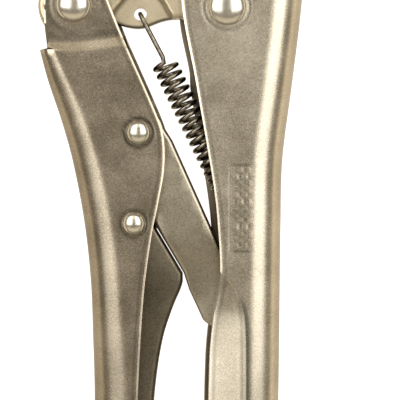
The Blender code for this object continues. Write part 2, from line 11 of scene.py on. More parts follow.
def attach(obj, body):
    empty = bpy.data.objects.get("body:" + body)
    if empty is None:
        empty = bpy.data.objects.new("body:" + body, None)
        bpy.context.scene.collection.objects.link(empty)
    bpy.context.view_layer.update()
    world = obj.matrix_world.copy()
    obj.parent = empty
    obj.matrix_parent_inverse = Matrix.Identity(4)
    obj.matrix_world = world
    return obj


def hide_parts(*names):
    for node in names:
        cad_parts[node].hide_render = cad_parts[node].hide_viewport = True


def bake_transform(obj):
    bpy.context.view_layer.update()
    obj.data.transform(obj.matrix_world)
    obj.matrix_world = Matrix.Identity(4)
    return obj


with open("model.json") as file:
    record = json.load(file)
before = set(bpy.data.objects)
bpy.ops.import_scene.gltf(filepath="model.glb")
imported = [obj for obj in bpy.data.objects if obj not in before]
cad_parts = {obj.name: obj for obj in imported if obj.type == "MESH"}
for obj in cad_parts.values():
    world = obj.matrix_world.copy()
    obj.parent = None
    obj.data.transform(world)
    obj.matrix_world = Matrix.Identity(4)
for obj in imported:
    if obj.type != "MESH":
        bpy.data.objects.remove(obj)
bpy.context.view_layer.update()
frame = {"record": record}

# ---------------------------------------------------------------- where things are
# Plan positions below are millimetres from the jaw pivot, as the tool is drawn: x to the fixed handle's
# back, y to the jaw tips, z up from the mid plane. The frame's own joints say where that pivot lies.
MM = 0.001
JOINTS = {joint["name"]: joint for joint in frame["record"]["behaviour"]["joints"]}
ORIGIN = Vector(JOINTS["jaw_pivot"]["pos_m"])


def place(x, y, z=0.0):
    """Metres in the part's frame."""
    return ORIGIN + Vector((x, y, z)) * MM


def plan(joint):
    """A joint's plan position in millimetres."""
    spot = (Vector(JOINTS[joint]["pos_m"]) - ORIGIN) / MM
    return spot.x, spot.y


JAW_PIVOT = (0.0, 0.0)
HANDLE_PIVOT = plan("handle_pivot")
LINK_PIVOT = plan("link_pivot")
LEVER_PIVOT = plan("release_lever_pivot")
SCREW_X = plan("knob_turn")[0]
JAW_RIVETS = {"front": (-1.5, 18.6), "rear": (9.0, 12.6)}
SPRING_HOLE = (-23.6, -1.6)
SPRING_TAB = (9.2, -69.1)
LINK_END = (5.2, -93.7)

REST_DEPTH = 9.3
SHEET = 2.3
HANDLE_HALF = 7.5
JOGGLE_HALF = 6.3
HEAD_HALF = 6.35
BODY_HALF = 4.8
LUG_HALF = 3.7
WEB_HALF = 2.2
LINK_HALF = 4.8
LINK_TIP_HALF = 2.4
LEVER_HALF = 3.6
TIP_Y = 57.3
JAW_GAP = 0.8
CUTTER_Y = 9.7
SHOULDER_Y = 24.3
HANDLE_END_Y = -165.0
WEB_END_Y = -11.5
TUBE_R = 7.5


# ---------------------------------------------------------------- shader arithmetic
class Signal:
    """A socket of a node tree: arithmetic on it adds Math nodes, and node() adds any other node."""

    def __init__(self, tree, socket=None):
        self.tree = tree
        self.socket = socket

    def node(self, kind, output=0, settings=None, **inputs):
        """Add a node: its settings first, then values or links for its sockets."""
        added = self.tree.nodes.new(kind)
        for name, value in (settings or {}).items():
            if name == "stops":
                lay_stops(added.color_ramp, value)
            else:
                setattr(added, name, value)
        for name, value in inputs.items():
            key = int(name[1:]) if name[1:].isdigit() else name.replace("_", " ")
            self.feed(added.inputs[key], value)
        return Signal(self.tree, added.outputs[output])

    def feed(self, socket, value):
        """Link a signal to a socket, or set the socket's own value."""
        if isinstance(value, Signal):
            self.tree.links.new(value.socket, socket)
        else:
            socket.default_value = value

    def math(self, operation, first, second=0.0, clamp=False):
        settings = {"operation": operation, "use_clamp": clamp}
        return self.node("ShaderNodeMath", settings=settings, i0=first, i1=second)

    def __add__(self, other):
        return self.math("ADD", self, other)

    def __sub__(self, other):
        return self.math("SUBTRACT", self, other)

    def __mul__(self, other):
        return self.math("MULTIPLY", self, other)

    def __rsub__(self, other):
        return self.math("SUBTRACT", other, self)

    __radd__ = __add__
    __rmul__ = __mul__

    def clamped(self):
        return self.math("ADD", self, 0.0, clamp=True)

    def ramp(self, *stops):
        """A colour ramp through (position, colour) stops."""
        return self.node("ShaderNodeValToRGB", settings={"stops": stops}, Fac=self)


def lay_stops(ramp, stops):
    """Give a colour ramp its (position, colour) stops."""
    while len(ramp.elements) < len(stops):
        ramp.elements.new(0.5)
    for element, (position, colour) in zip(ramp.elements, stops):
        element.position = position
        element.color = (*colour, 1.0)


def grains(sheet, scale, detail=2.0, rough=0.5):
    """Noise of about 1/scale metres, 0 to 1."""
    where = sheet.node("ShaderNodeTexCoord", output=3)
    return sheet.node("ShaderNodeTexNoise", Vector=where, Scale=scale, Detail=detail, Roughness=rough)


def mixed(factor, first, second):
    """A colour between two colours."""
    colours = {"data_type": "RGBA"}
    return factor.node("ShaderNodeMix", output=2, settings=colours, Factor=factor, i6=first, i7=second)


def finish(name):
    """A new material and its Principled shader."""
    material = bpy.data.materials.new(name)
    material.use_nodes = True
    shader = material.node_tree.nodes["Principled BSDF"]
    shader.inputs["Metallic"].default_value = 1.0
    return material, shader, Signal(material.node_tree)


def shade(sheet, shader, **sockets):
    """Feed the shader's sockets."""
    for name, value in sockets.items():
        sheet.feed(shader.inputs[name.replace("_", " ")], value)


# ---------------------------------------------------------------- finishes
def satin_nickel(name, colour, dark, roughness, grit=0.022, grain=2600.0):
    """Nickel plate on blasted steel: sandy speckle, cloudy tone, brighter worn edges, and painted shade
    wherever a mesh's shade mask is set.
    """
    material, shader, sheet = finish(name)
    sand = grains(sheet, grain, 2.0, 0.6)
    cloud = grains(sheet, 70.0, 3.0, 0.6)
    pits = grains(sheet, grain * 0.6, 1.0)
    tone = ((sand - 0.5) * 1.8 + (cloud - 0.5) * 1.7 + 0.5).clamped()
    edge = sheet.node("ShaderNodeNewGeometry", output=7)
    worn = ((edge - 0.52) * 6.0).clamped()
    plated = mixed(tone, (*dark, 1.0), (*colour, 1.0))
    bright = tuple(min(1.0, c * 1.25) for c in colour)
    # Painted shade: a per-vertex mask darkens the plate in creases, in dimples, round rivets and beside
    # steps.
    grime = sheet.node("ShaderNodeAttribute", output=2, settings={"attribute_name": "grime"})
    shade_colour = tuple(c * 0.25 for c in dark)
    shaded_plate = mixed((grime * (cloud * 0.6 + 0.6)).clamped(), plated, (*shade_colour, 1.0))
    shade(sheet, shader, Base_Color=mixed(worn * 0.6, shaded_plate, (*bright, 1.0)))
    shade(sheet, shader, Roughness=(pits - 0.5) * 0.12 + (cloud - 0.5) * 0.12 + (roughness - worn * 0.1))
    height = sand * 0.6 + pits * 0.8
    bump = sheet.node("ShaderNodeBump", Strength=grit, Distance=0.00012, Height=height)
    shade(sheet, shader, Normal=bump)
    return material


def polished_steel(name, colour, roughness):
    """Bright burnished rivet heads, with faint turning marks and a few spots."""
    material, shader, sheet = finish(name)
    haze = grains(sheet, 900.0, 2.0)
    spots = grains(sheet, 3200.0, 2.0)
    dull = tuple(c * 0.8 for c in colour)
    shade(sheet, shader, Base_Color=mixed(haze, (*dull, 1.0), (*colour, 1.0)))
    shade(sheet, shader, Roughness=(haze - 0.5) * 0.12 + (spots - 0.5) * 0.08 + roughness)
    bump = sheet.node("ShaderNodeBump", Strength=0.08, Distance=0.0001, Height=haze + spots * 0.5)
    shade(sheet, shader, Normal=bump)
    return material


def spring_wire():
    """Dark oiled wire with drawn marks and lighter rubbed spots."""
    material, shader, sheet = finish("dark_spring_wire")
    rub = grains(sheet, 700.0, 3.0)
    tone = rub.ramp((0.35, (0.20, 0.175, 0.135)), (0.6, (0.36, 0.32, 0.26)), (0.78, (0.52, 0.48, 0.40)))
    shade(sheet, shader, Base_Color=tone, Roughness=(rub - 0.5) * 0.2 + 0.25)
    bump = sheet.node("ShaderNodeBump", Strength=0.15, Distance=0.0001, Height=grains(sheet, 2500.0))
    shade(sheet, shader, Normal=bump)
    return material


def sheared_edge():
    """The cut rim of the pressed sheet: a burnished band and a torn, duller one."""
    material, shader, sheet = finish("sheared_edge")
    streak = grains(sheet, 1500.0, 3.0, 0.7)
    tone = streak.ramp((0.3, (0.36, 0.33, 0.27)), (0.7, (0.62, 0.58, 0.5)))
    shade(sheet, shader, Base_Color=tone, Roughness=(streak - 0.5) * 0.3 + 0.4)
    bump = sheet.node("ShaderNodeBump", Strength=0.3, Distance=0.00015, Height=streak)
    shade(sheet, shader, Normal=bump)
    return material


# ---------------------------------------------------------------- shape helpers
def blend(a, b, t):
    return tuple(p + (q - p) * t for p, q in zip(a, b))


def eased(keys, at):
    """Value at a place, on a smooth cubic through (place, value) keys."""
    keys = sorted(keys)
    if at <= keys[0][0]:
        return keys[0][1]
    if at >= keys[-1][0]:
        return keys[-1][1]

    def slope(k):
        before, after = keys[max(k - 1, 0)], keys[min(k + 1, len(keys) - 1)]
        return (after[1] - before[1]) / (after[0] - before[0])

    span = next(k for k in range(len(keys) - 1) if keys[k + 1][0] >= at)
    (p0, v0), (p1, v1) = keys[span], keys[span + 1]
    width = p1 - p0
    t = (at - p0) / width
    rise = 3 * t ** 2 - 2 * t ** 3
    return (v0 + (v1 - v0) * rise + slope(span) * width * t * (1 - t) ** 2
            - slope(span + 1) * width * t ** 2 * (1 - t))


def step(low, high, at):
    """0 below low, 1 above high, smooth between (low may be the larger)."""
    t = min(max((at - low) / (high - low), 0.0), 1.0)
    return t * t * (3 - 2 * t)


def arc(centre, radius, start, end, steps):
    angles = [math.radians(start + (end - start) * k / steps) for k in range(steps + 1)]
    return [(centre[0] + radius * math.cos(a), centre[1] + radius * math.sin(a)) for a in angles]


def through(points, steps=8):
    """A smooth line through plan points."""
    knots = [Vector((x, y, 0.0)) for x, y in points]
    line = []
    for k in range(len(knots) - 1):
        before, after = knots[max(k - 1, 0)], knots[min(k + 2, len(knots) - 1)]
        handle_a = knots[k] + (knots[k + 1] - before) / 6
        handle_b = knots[k + 1] - (after - knots[k]) / 6
        line += interpolate_bezier(knots[k], handle_a, handle_b, knots[k + 1], steps + 1)[:-1]
    line.append(knots[-1])
    return [(p.x, p.y) for p in line]


def new_piece(name, mesh, *materials):
    piece = bpy.data.objects.new(name, mesh)
    bpy.context.scene.collection.objects.link(piece)
    for material in materials:
        mesh.materials.append(material)
    return piece


def soften(piece, angle=40.0):
    piece.data.shade_smooth()
    piece.data.set_sharp_from_angle(angle=math.radians(angle))


def settle(piece, node, body):
    """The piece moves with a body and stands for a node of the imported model."""
    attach(piece, body)
    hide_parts(node)
    return piece


def applied(piece):
    """Turn a piece's modifiers, or a curve, into a plain mesh piece of the same name."""
    bpy.context.view_layer.update()
    evaluated = piece.evaluated_get(bpy.context.evaluated_depsgraph_get())
    mesh = bpy.data.meshes.new_from_object(evaluated)
    mesh.transform(piece.matrix_world)
    name = piece.name
    bpy.data.objects.remove(piece)
    fresh = bpy.data.objects.new(name, mesh)
    bpy.context.scene.collection.objects.link(fresh)
    return fresh


def slab(name, outline, half, edge, *materials, inset=0.0):
    """A flat outline of a half thickness with rounded edges, as a mesh about the mid plane."""
    curve = bpy.data.curves.new(name, "CURVE")
    curve.dimensions = "2D"
    curve.fill_mode = "BOTH"
    curve.extrude = (half - edge) * MM
    curve.bevel_depth = edge * MM
    curve.bevel_resolution = 3
    curve.offset = -(edge + inset) * MM
    spline = curve.splines.new("POLY")
    spline.points.add(len(outline) - 1)
    for point, (x, y) in zip(spline.points, outline):
        point.co = (x * MM, y * MM, 0.0, 1.0)
    spline.use_cyclic_u = True
    drawing = bpy.data.objects.new(name, curve)
    bpy.context.scene.collection.objects.link(drawing)
    drawing.location = ORIGIN
    piece = applied(drawing)
    body = bmesh.new()
    body.from_mesh(piece.data)
    bmesh.ops.remove_doubles(body, verts=body.verts, dist=0.005 * MM)
    bmesh.ops.recalc_face_normals(body, faces=body.faces)
    body.to_mesh(piece.data)
    body.free()
    piece.data.materials.clear()
    for material in materials:
        piece.data.materials.append(material)
    return piece


def merged(piece, *others, operation="UNION"):
    """Join or cut a piece by others, which are used up."""
    for other in others:
        boolean = piece.modifiers.new(other.name, "BOOLEAN")
        boolean.object = other
        boolean.operation = operation
    result = applied(piece)
    for other in others:
        bpy.data.objects.remove(other)
    return result


def bit(x, y, radius, depth=30.0, z=0.0):
    """A round cutter along z."""
    mesh = bpy.data.meshes.new("bit")
    body = bmesh.new()
    bmesh.ops.create_cone(body, cap_ends=True, segments=48, radius1=radius * MM, radius2=radius * MM,
                          depth=depth * MM, matrix=Matrix.Translation(place(x, y, z)))
    body.to_mesh(mesh)
    body.free()
    return new_piece("bit", mesh)


# ---------------------------------------------------------------- pressed handles
def bent_half(free, crease, wall_half, back_x, bend, side, columns):
    """Half of a channel's outer section, from its free edge to the middle of its back."""
    bend_x = back_x - side * bend[0]
    low, high, turn = columns
    points = [blend(free, crease, k / low) for k in range(low)]
    points += [blend(crease, (bend_x, wall_half), k / high) for k in range(high)]
    for k in range(turn + 1):
        angle = math.radians(90 - 90 * k / turn)
        points.append((bend_x + side * bend[0] * math.cos(angle),
                       wall_half - bend[1] * (1 - math.sin(angle))))
    points.append((back_x, 0.0))
    return points


def pressed_sheet(name, rows, relief, *materials):
    """A sheet through rows of (x, y, z) points, thickened inwards.

    relief(x, y) gives how deep the near wall is pressed in and how much painted shade it gets there.
    """
    mesh = bpy.data.meshes.new(name)
    body = bmesh.new()
    # A per-vertex mask of painted shade, by which the finishes darken the plate.
    grime = body.verts.layers.float.new("grime")
    grid = []
    for row in rows:
        line = []
        for point in row:
            if point is None:
                line.append(None)
                continue
            x, y, z = point
            sink, shade_amount = relief(x, y) if z > 0 else (0.0, 0.0)
            vertex = body.verts.new(place(x, y, z - sink))
            vertex[grime] = shade_amount
            line.append(vertex)
        grid.append(line)
    for upper, lower in zip(grid, grid[1:]):
        for k in range(len(upper) - 1):
            corners = (upper[k], lower[k], lower[k + 1], upper[k + 1])
            if all(corners):
                body.faces.new(corners)
    bmesh.ops.delete(body, geom=[v for v in body.verts if not v.link_faces], context="VERTS")
    body.to_mesh(mesh)
    body.free()
    piece = new_piece(name, mesh, *materials)
    thicken = piece.modifiers.new("sheet", "SOLIDIFY")
    thicken.thickness = SHEET * MM
    thicken.offset = -1
    thicken.use_even_offset = True
    # The inner faces take the second finish: the channel's inside in painted shade.
    thicken.material_offset = 1
    thicken.material_offset_rim = 2
    round_rim = piece.modifiers.new("rim", "BEVEL")
    round_rim.width = 0.55 * MM
    round_rim.segments = 3
    round_rim.limit_method = "ANGLE"
    round_rim.angle_limit = math.radians(50)
    piece = applied(piece)
    soften(piece, 50.0)
    return piece


def coined_ring(x, y, centre, radius, width, depth):
    """Depth of a shallow ring pressed round a rivet."""
    away = abs(math.hypot(x - centre[0], y - centre[1]) - radius)
    return depth * (1 - step(0.0, width, away))


FIXED_FRONT_Y = 24.0
FIXED_BEND = (8.4, 6.2)                          # how far the back's round reaches in, and how deep it is
FIXED_BACK = [(FIXED_FRONT_Y, 19.4), (14.0, 21.0), (1.75, 20.4), (-20.0, 17.8), (-41.0, 15.1),
              (-58.0, 14.6), (-106.0, 14.0), (-150.0, 13.0), (HANDLE_END_Y, 13.0)]
FIXED_FREE = [(FIXED_FRONT_Y, -6.0), (15.0, -11.2), (1.75, -12.3), (-20.0, -8.5), (-46.8, -3.9),
              (-57.6, -2.6), (-73.8, -1.9), (-84.6, -3.9), (-95.4, -4.9), (-120.0, -5.0), (-150.0, -2.0),
              (HANDLE_END_Y, -2.0)]
PINCH_FREE_Z = [(-72.0, HANDLE_HALF), (-78.0, 6.4), (-84.0, 5.6), (-96.0, 5.1), (HANDLE_END_Y, 5.1)]
PINCH_CREASE_X = [(-60.0, -1.4), (-72.0, -1.0), (-75.0, 1.5), (-78.0, 2.8), (-80.6, 3.9), (-84.0, 4.7),
                  (-89.0, 5.0), (-93.0, 5.1), (-106.0, 5.1), (HANDLE_END_Y, 4.2)]
ROLL = [(-112.0, 0.0), (-131.0, 0.5), (-150.0, 1.0)]
FIXED_LIP = [(HANDLE_END_Y, 0.0), (-140.0, 0.0), (-112.0, -1.0), (-85.0, -1.1), (-62.0, -1.8),
             (-22.0, -1.8), (-17.0, -1.2), (-4.0, -1.2), (8.0, 0.0)]
TUBE_TURN = 176.0                                # degrees that half of the rolled tube goes round


def whole_section(half, y, lip):
    """A section from the near wall round the back to the far wall, whose edge reaches further by lip."""
    far = [(x, y, -z) for x, z in half[:-1]]
    far[0] = (far[0][0] + lip, y, far[0][2])
    return [(x, y, z) for x, z in half] + far[::-1]


def fixed_crease(y):
    return max(eased(PINCH_CREASE_X, y), eased(FIXED_FREE, y) + 1.0)


def fixed_section(y, columns):
    """The fixed handle's section: a channel, pinched lower down, then rolled into a tube at its end."""
    crease = (fixed_crease(y), HANDLE_HALF)
    free = (eased(FIXED_FREE, y), eased(PINCH_FREE_Z, y))
    half = bent_half(free, crease, HANDLE_HALF, eased(FIXED_BACK, y), FIXED_BEND, 1, columns)
    roll = eased(ROLL, y)
    for k, point in enumerate(half):
        angle = math.radians(TUBE_TURN * (1 - k / (len(half) - 1)))
        round_point = (SCREW_X + TUBE_R * math.cos(angle), TUBE_R * math.sin(angle))
        half[k] = blend(point, round_point, roll)
    return whole_section(half, y, eased(FIXED_LIP, y))


PANEL = (0.4, 7.0, -66.2, -42.6)                 # the stamped panel's sides on the fixed handle


def fixed_relief(x, y):
    """A stamped panel of plain dimples, the pinch's steep first fall, and coining round the jaw pivot,
    with painted shade at the crease, the panel's ends, the dimples and the pivot's ring.
    """
    crease, free = fixed_crease(y), eased(FIXED_FREE, y)
    left, right, low, high = PANEL
    inside = min(x - left, right - x, y - low, high - y)
    rim = step(-0.2, 0.3, inside) * (1 - step(0.5, 1.0, inside))
    wander = 2.3 * y + 1.2 * math.sin(0.9 * y)
    dimples = step(0.6, 1.4, inside) * math.sin(2.5 * (x - left)) * math.sin(wander)
    sunk = 0.035 * rim + 0.05 * dimples + die_roll(x - free)
    down = min(max((crease - x) / (crease - free), 0.0), 1.0)
    drop = (HANDLE_HALF - eased(PINCH_FREE_Z, y)) * (1 - eased(ROLL, y))
    sunk += 0.2 * drop * (step(0.0, 0.22, down) - down)
    sunk += coined_ring(x, y, JAW_PIVOT, 6.2, 1.0, 0.10)
    # Painted shade beside the pinch's crease, along the panel's ends, in the dimples and round the pivot's
    # ring.
    beside = abs(x - crease - 0.35)
    shade_amount = 0.75 * (1 - step(0.1, 1.2, beside)) * step(-76.0, -82.0, y) * (1 - eased(ROLL, y))
    ends = min(abs(y - high), abs(y - low))
    shade_amount += 0.8 * (1 - step(0.1, 0.5, ends)) * step(0.4, 2.0, x - left) * step(0.4, 1.6, right - x)
    shade_amount += 0.5 * step(0.1, 0.9, dimples) + coined_ring(x, y, JAW_PIVOT, 6.2, 0.8, 0.5)
    return sunk, min(shade_amount + edge_painted_shade(x - free), 1.0)


def die_roll(inward):
    """How far the sheet's face rolls down towards its sheared edge."""
    return 0.13 * max(0.0, 1 - inward / 0.75) ** 2


def edge_painted_shade(inward):
    """Painted shade just inside the rolled-down edge."""
    return 0.35 * (1 - step(0.1, 0.6, abs(inward - 1.4)))


def make_fixed_handle(materials):
    span = FIXED_FRONT_Y - HANDLE_END_Y
    count, columns = 300, (20, 26, 14)
    rows = [fixed_section(FIXED_FRONT_Y - span * k / count, columns) for k in range(count + 1)]
    handle = pressed_sheet("fixed_handle_shell", rows, fixed_relief, *materials)
    x, y = SPRING_TAB
    tab = slab("tab", [(x - 1.6, y - 1.0), (x + 4.2, y - 1.4), (x + 4.2, y + 1.4), (x - 1.6, y + 1.0)],
               1.4, 0.4, materials[0])
    return merged(handle, tab)


MOVABLE_BACK = [(WEB_END_Y, -50.8), (-19.8, -48.6), (-30.6, -45.0), (-41.4, -42.0), (-57.6, -38.9),
                (-73.8, -37.1), (-90.0, -36.45), (-106.0, -36.05), (-130.0, -36.3), (-150.0, -37.6),
                (HANDLE_END_Y, -39.6)]
MOVABLE_FREE = [(1.75, -32.3), (-9.0, -27.9), (-30.6, -18.5), (-36.0, -17.1), (-44.1, -17.1),
                (-52.2, -18.5), (-63.0, -20.65), (-79.2, -22.7), (-106.0, -24.2), (-130.0, -24.8),
                (-150.0, -26.4), (HANDLE_END_Y, -29.6)]
MOVABLE_LIP = 0.9
BEND_DEPTH = 0.7                                 # the depth of the movable handle's bend against its reach
MOVABLE_BEND = [(WEB_END_Y, 4.2), (-25.0, 6.5), (-52.0, 8.0), (-80.0, 8.4), (-106.0, 9.5),
                (HANDLE_END_Y, 9.5)]


def movable_relief(x, y):
    """The joggled step round the handle pivot, coining round the three rivets, and painted shade beside
    them and along the step.
    """
    edge = -10.8 + 1.5 * step(-41.0, -27.0, x)
    joggle = (HANDLE_HALF - JOGGLE_HALF) * step(edge - 2.0, edge + 2.0, y)
    rings = (coined_ring(x, y, HANDLE_PIVOT, 6.6, 0.9, 0.06)
             + coined_ring(x, y, LINK_PIVOT, 4.1, 0.8, 0.08)
             + coined_ring(x, y, LEVER_PIVOT, 3.6, 0.7, 0.06))
    # Painted shade round the three rivets and along both sides of the joggled step.
    shade_amount = (coined_ring(x, y, HANDLE_PIVOT, 7.4, 1.2, 0.4)
            + coined_ring(x, y, LINK_PIVOT, 3.9, 0.9, 1.0)
            + coined_ring(x, y, LEVER_PIVOT, 3.6, 0.7, 0.8))
    shade_amount += 0.35 * (1 - step(0.2, 1.6, abs(y - edge - 2.8))) + 0.3 * (1 - step(0.2, 2.2, abs(y - edge)))
    inward = eased(MOVABLE_FREE, y) - x
    return joggle + rings + die_roll(inward), min(shade_amount + edge_painted_shade(inward), 1.0)


def make_movable_handle(materials):
    columns = low, high, turn = (24, 12, 14)
    across = low + high
    rows = []
    round_y, round_r, round_x = 1.75, 8.6, -40.9
    y = round_y + round_r - 0.05
    while y > WEB_END_Y + 0.4:
        if y > round_y:
            reach = math.sqrt(max(round_r ** 2 - (y - round_y) ** 2, 0.0))
            right, left = round_x + reach, round_x - reach
        else:
            right = eased(MOVABLE_FREE, y)
            left = eased([(WEB_END_Y, -48.6), (-3.6, -49.5), (1.75, -49.5)], y)
        walls = [(right + (left - right) * k / across, y) for k in range(across + 1)]
        near = [(x, y, HANDLE_HALF) for x, y in walls]
        far_half = HANDLE_HALF - (HANDLE_HALF - JOGGLE_HALF) * step(WEB_END_Y, -6.5, y)
        far = [(x, y, -far_half) for x, y in walls]
        if y <= round_y:
            far[0] = (right + MOVABLE_LIP, y, far[0][2])
        rows.append(near + [None] * (2 * turn + 1) + far[::-1])
        y -= 0.25 if y > round_y + round_r - 1.5 else 0.7
    count = 190
    for k in range(count + 1):
        y = WEB_END_Y + (HANDLE_END_Y - WEB_END_Y) * k / count
        back_x, bend = eased(MOVABLE_BACK, y), eased(MOVABLE_BEND, y)
        free = (eased(MOVABLE_FREE, y), HANDLE_HALF)
        crease = blend(free, (back_x + bend, HANDLE_HALF), 0.5)
        half = bent_half(free, crease, HANDLE_HALF, back_x, (bend, BEND_DEPTH * bend), -1, columns)
        rows.append(whole_section(half, y, MOVABLE_LIP))
    return pressed_sheet("movable_handle_shell", [row[::-1] for row in rows], movable_relief, *materials)


# ---------------------------------------------------------------- jaws
def parting(y):
    return -13.4 - 0.034 * (y - CUTTER_Y)


def grip_line(side):
    """A jaw's inner edge, tip to cutter: toothed nose, toothed pipe hollow, cutting land."""
    pitch, depth, middle, chord, sag = 1.8, 0.7, 27.0, 10.0, 4.6
    line = []
    for tooth in range(int((TIP_Y - middle - chord - 1.0) / pitch)):
        crest = TIP_Y - 0.4 - tooth * pitch
        root = crest - 0.6 * pitch
        line.append((parting(crest) + side * JAW_GAP / 2, crest))
        line.append((parting(root) + side * (JAW_GAP / 2 + depth), root))
    radius = (chord ** 2 + sag ** 2) / (2 * sag)
    sweep = math.degrees(math.asin(chord / radius))
    centre_x = parting(middle) + side * (JAW_GAP / 2 + sag - radius)
    for k in range(21):
        angle = math.radians(sweep - 2 * sweep * k / 20)
        reach = radius + depth * (k % 2)
        line.append((centre_x + side * reach * math.cos(angle), middle + reach * math.sin(angle)))
    line.append((parting(15.8) + side * JAW_GAP / 4, 15.8))
    return line


def make_fixed_jaw(material):
    """Forged jaw: a thick toothed head on a thinner tail."""
    tail = [(parting(CUTTER_Y) + JAW_GAP / 4, CUTTER_Y + 0.2)] + arc(JAW_PIVOT, 9.7, 114, 22, 24)
    back = through([(18.6, SHOULDER_Y + 0.3), (17.6, 29.0), (13.4, 37.5), (7.0, 45.5), (0.0, 52.0),
                    (-5.0, 55.6), (-10.0, TIP_Y)])
    tip = [(parting(TIP_Y) + JAW_GAP / 2, TIP_Y)]
    whole = grip_line(1) + tail + [(13.6, 3.6), (13.6, SHOULDER_Y + 0.3)] + back + tip
    upper = [p for p in grip_line(1) if p[1] > SHOULDER_Y + 0.3]
    head = upper + [(upper[-1][0], SHOULDER_Y + 0.3)] + back + tip
    jaw = slab("fixed_jaw_forging", whole, BODY_HALF, 0.25, material, inset=0.06)
    thick = slab("head", head, HEAD_HALF, 0.3, material)
    jaw = merged(jaw, thick)
    soften(jaw, 30.0)
    return jaw


def make_movable_jaw(material):
    """Forged jaw: head, pivot boss and handle lug, with the spring's thin web between them."""
    neck = [(parting(CUTTER_Y) - JAW_GAP / 4, CUTTER_Y - 0.4)] + arc(JAW_PIVOT, 9.0, 118, -150, 40)
    lower_edge = through([(-12.5, -2.8), (-17.4, -3.6), (-22.8, -5.5), (-26.9, -5.3), (-31.0, -4.0)])
    lug = arc(HANDLE_PIVOT, 9.8, -48, -205, 36)
    back = through([(-47.2, 14.0), (-41.0, 28.0), (-33.5, 42.0), (-26.0, 53.5), (-20.5, TIP_Y)])
    tip = [(parting(TIP_Y) - JAW_GAP / 2, TIP_Y)]
    whole = grip_line(-1) + neck + lower_edge + lug + back + tip
    grip = grip_line(-1)
    shoulder = [(parting(14.0) - JAW_GAP / 4, 14.0), (-46.6, 14.0)]
    head = [p for p in grip if p[1] > 14.0] + shoulder + back + tip
    right_flare = [(-15.0, -2.9), (-17.7, 1.75), (-22.5, 8.0), (-24.0, 16.0)]
    left_flare = [(-31.4, -3.9), (-30.9, -1.5), (-28.2, 1.75), (-23.0, 8.0), (-24.0, 16.0)]
    right_pad = [p for p in grip if p[1] < 17.0] + neck + lower_edge[:3] + right_flare
    left_pad = left_flare + [(-46.0, 16.0)] + arc(HANDLE_PIVOT, 9.8, 155, 312, 36)
    jaw = slab("movable_jaw_forging", whole, WEB_HALF, 0.3, material, inset=0.12)
    jaw = merged(jaw, bit(*SPRING_HOLE, 1.75), operation="DIFFERENCE")
    jaw = merged(jaw, slab("head", head, HEAD_HALF, 0.5, material),
                 slab("boss", right_pad, BODY_HALF, 1.1, material, inset=0.04),
                 slab("lug", left_pad, LUG_HALF, 1.1, material, inset=0.08))
    divide(jaw, 0.5, (-32.0, -7.0), (-12.0, 9.0))
    # Painted shade along the web's lower edge and at the foot of the boss and lug.
    paint_shade_near(jaw, lower_edge, 1.1, 1.0)
    paint_shade_near(jaw, through(right_flare) + through(left_flare), 1.0, 0.75)
    soften(jaw, 30.0)
    return jaw


def paint_shade_near(piece, line, reach, amount):
    """Painted shade on the spring's web within reach of a line of plan points."""
    grime = piece.data.attributes.get("grime") or piece.data.attributes.new("grime", "FLOAT", "POINT")
    for vertex, value in zip(piece.data.vertices, grime.data):
        spot = (vertex.co - ORIGIN) / MM
        if abs(spot.z) < WEB_HALF + 0.1 and spot.y < 10.0:
            away = min(math.hypot(spot.x - x, spot.y - y) for x, y in line)
            value.value = max(value.value, amount * (1 - step(0.4 * reach, reach, away)))


# ---------------------------------------------------------------- link and lever
def make_link(material):
    """Bar from the movable handle to the screw, thinned towards its end."""
    outline = (arc(LINK_PIVOT, 7.2, 10, 205, 30)
               + [(-27.2, -41.6), (-19.3, -59.3), (-11.75, -72.0), (-10.3, -76.5), (-6.6, -84.6),
                  (-5.9, -85.4), (-2.5, -87.6), (0.4, -91.5)]
               + arc(LINK_END, 3.9, 200, 370, 20) + [(8.0, -87.0), (-14.85, -36.0)])
    link = slab("toggle_link_bar", outline, LINK_HALF, 1.1, material)
    divide(link, 3.0, (-40.0, -100.0), (12.0, -28.0))
    run = Vector((LINK_END[0] - LINK_PIVOT[0], LINK_END[1] - LINK_PIVOT[1], 0.0)).normalized()
    for vertex in link.data.vertices:
        spot = (vertex.co - place(*LINK_PIVOT)) / MM
        vertex.co.z = ORIGIN.z + (vertex.co.z - ORIGIN.z) * (
            1 - (1 - LINK_TIP_HALF / LINK_HALF) * step(28.0, 48.0, spot.dot(run)))
    soften(link, 40.0)
    return link


def divide(piece, spacing, low, high):
    """Slice a piece across in both directions between two plan corners, so that it can be bent finely."""
    body = bmesh.new()
    body.from_mesh(piece.data)
    for axis in (0, 1):
        for k in range(1, int((high[axis] - low[axis]) / spacing)):
            spot, normal = ORIGIN.copy(), Vector((0, 0, 0))
            spot[axis] += (low[axis] + spacing * k) * MM
            normal[axis] = 1.0
            geometry = body.verts[:] + body.edges[:] + body.faces[:]
            bmesh.ops.bisect_plane(body, geom=geometry, plane_co=spot, plane_no=normal, dist=0.000001)
    body.to_mesh(piece.data)
    body.free()


def make_lever(material):
    """Release lever: boss, nose against the link, and a long finger tail."""
    boss = arc(LEVER_PIVOT, 4.4, 40, 190, 20)
    back = through([(-31.0, -72.0), (-31.0, -90.0), (-29.8, -110.0), (-28.0, -130.0), (-25.6, -143.0)])
    tail = arc((-22.4, -143.6), 3.2, 190, 355, 16)
    front = through([(-20.0, -130.0), (-20.1, -112.0), (-19.3, -101.0), (-17.5, -90.0), (-15.0, -82.0),
                     (-12.7, -76.5), (-12.05, -74.4)])
    nose = [(-12.05, -72.1), (-19.6, -59.4)]
    lever = slab("release_lever_bar", boss + back + tail + front + nose, LEVER_HALF, 1.2, material)
    soften(lever, 40.0)
    return lever


